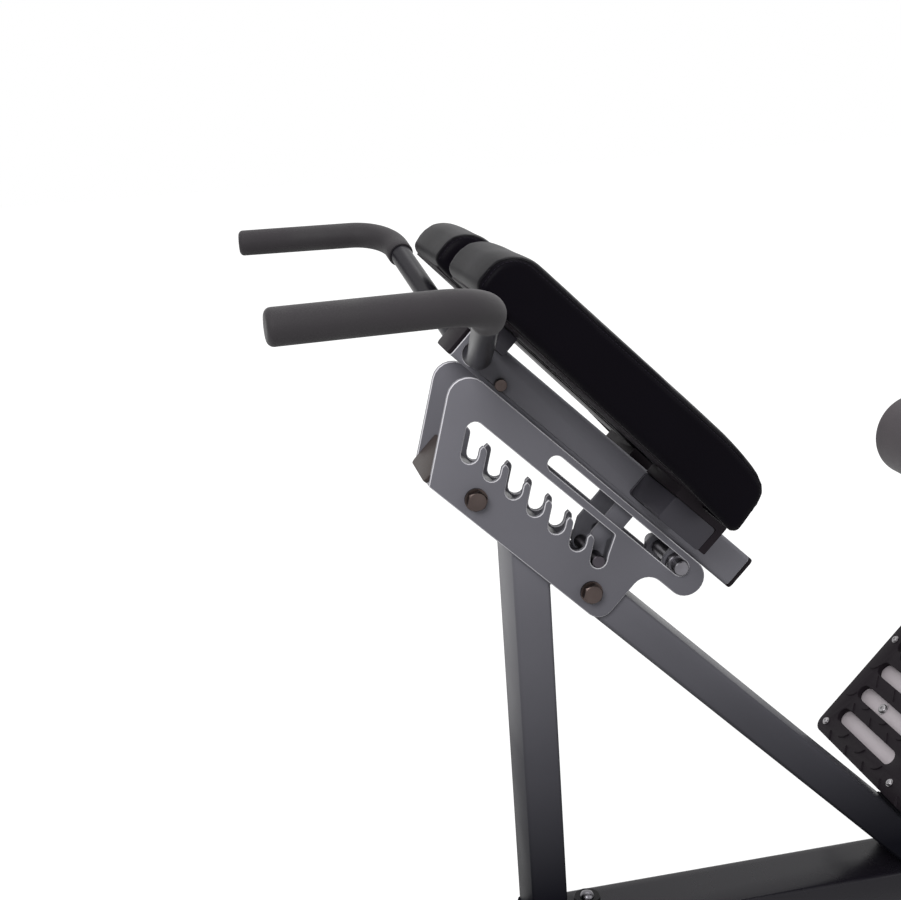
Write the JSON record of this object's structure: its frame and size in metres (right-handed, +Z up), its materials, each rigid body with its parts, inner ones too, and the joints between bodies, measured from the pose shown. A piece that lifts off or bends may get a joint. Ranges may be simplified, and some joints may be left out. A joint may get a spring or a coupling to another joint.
{
  "type": "hyperextension bench",
  "caption": "Inclined back-extension bench with split thigh pads on a notched sliding carriage, forward grips, slotted foot plate and padded ankle rollers.",
  "frame": {"origin": "on the floor under the middle of the bench's overall length and width, carriage in its lowest notch", "axes": "+X towards the foot plate, +Y to the far side of the picture, +Z up"},
  "size_m": [1.025, 0.6688, 0.8777],
  "materials": {
    "graphite_paint": "satin graphite powder coat",
    "base_paint": "satin near-black powder coat",
    "zinc": "zinc plated",
    "plate_steel": "light satin",
    "black_plastic": "fine texture",
    "foot_rubber": "matte",
    "grip_rubber": "matte",
    "black_vinyl": "fine grained upholstery vinyl",
    "roller_vinyl": "soft skin over foam"
  },
  "bodies": {
    "frame": {"base_beam": "base_paint", "base_cap_front": "black_plastic", "base_cap_rear": "black_plastic", "front_cross_foot": "base_paint", "front_foot_cap_near": "black_plastic", "front_foot_cap_far": "black_plastic", "front_foot_pad_near": "foot_rubber", "front_foot_pad_far": "foot_rubber", "rear_cross_foot": "base_paint", "rear_foot_cap_near": "black_plastic", "rear_foot_cap_far": "black_plastic", "rear_foot_pad_near": "foot_rubber", "rear_foot_pad_far": "foot_rubber", "beam_bolt_near": "zinc", "beam_bolt_far": "zinc", "front_leg": "graphite_paint", "strut": "graphite_paint", "strut_cap": "black_plastic", "side_plate_near": "graphite_paint", "side_plate_far": "graphite_paint", "through_bolt_upper": "zinc", "through_bolt_lower": "zinc", "through_nut_upper": "zinc", "through_nut_lower": "zinc", "foot_tread": "black_plastic", "foot_plate": "plate_steel", "foot_brace_lower": "graphite_paint", "foot_brace_upper": "graphite_paint", "roller_post": "graphite_paint", "post_cap": "black_plastic", "roller_arm": "graphite_paint", "arm_cap": "black_plastic", "roller_bar": "zinc", "roller_stop_near": "zinc", "roller_stop_far": "zinc"},
    "guide": {"guide_rod": "zinc", "guide_bush_near": "zinc", "guide_bush_far": "zinc"},
    "carriage": {"carriage_tube": "graphite_paint", "carriage_cap_upper": "black_plastic", "carriage_cap_lower": "black_plastic", "carriage_bolt": "zinc", "guide_lug_near": "graphite_paint", "guide_lug_far": "graphite_paint", "latch_arm_near": "graphite_paint", "latch_arm_far": "graphite_paint", "latch_rod": "zinc", "pad_bracket_near": "graphite_paint", "pad_bracket_far": "graphite_paint", "pad_saddle": "graphite_paint", "pad_board_near": "black_plastic", "pad_board_far": "black_plastic", "thigh_pad_near": "black_vinyl", "thigh_pad_far": "black_vinyl", "handlebar": "base_paint", "hand_grip_near": "grip_rubber", "hand_grip_far": "grip_rubber"},
    "near_roller": {"ankle_roller_near": "roller_vinyl"},
    "far_roller": {"ankle_roller_far": "roller_vinyl"}
  },
  "joints": [
    {"name": "carriage_slide", "type": "slide", "parent": "frame", "child": "guide", "axis": [-0.7071, 0, 0.7071], "range_m": [0, 0.183]},
    {"name": "carriage_lift", "type": "hinge", "parent": "guide", "child": "carriage", "pos_m": [-0.06669, 0, 0.5089], "axis": [0, 1, 0], "range_deg": [0, 17.2]},
    {"name": "near_roller_spin", "type": "hinge", "parent": "frame", "child": "near_roller", "pos_m": [0.32985, -0.113, 0.55402], "axis": [0, 1, 0], "continuous": true},
    {"name": "far_roller_spin", "type": "hinge", "parent": "frame", "child": "far_roller", "pos_m": [0.32985, 0.113, 0.55402], "axis": [0, 1, 0], "continuous": true}
  ]
}
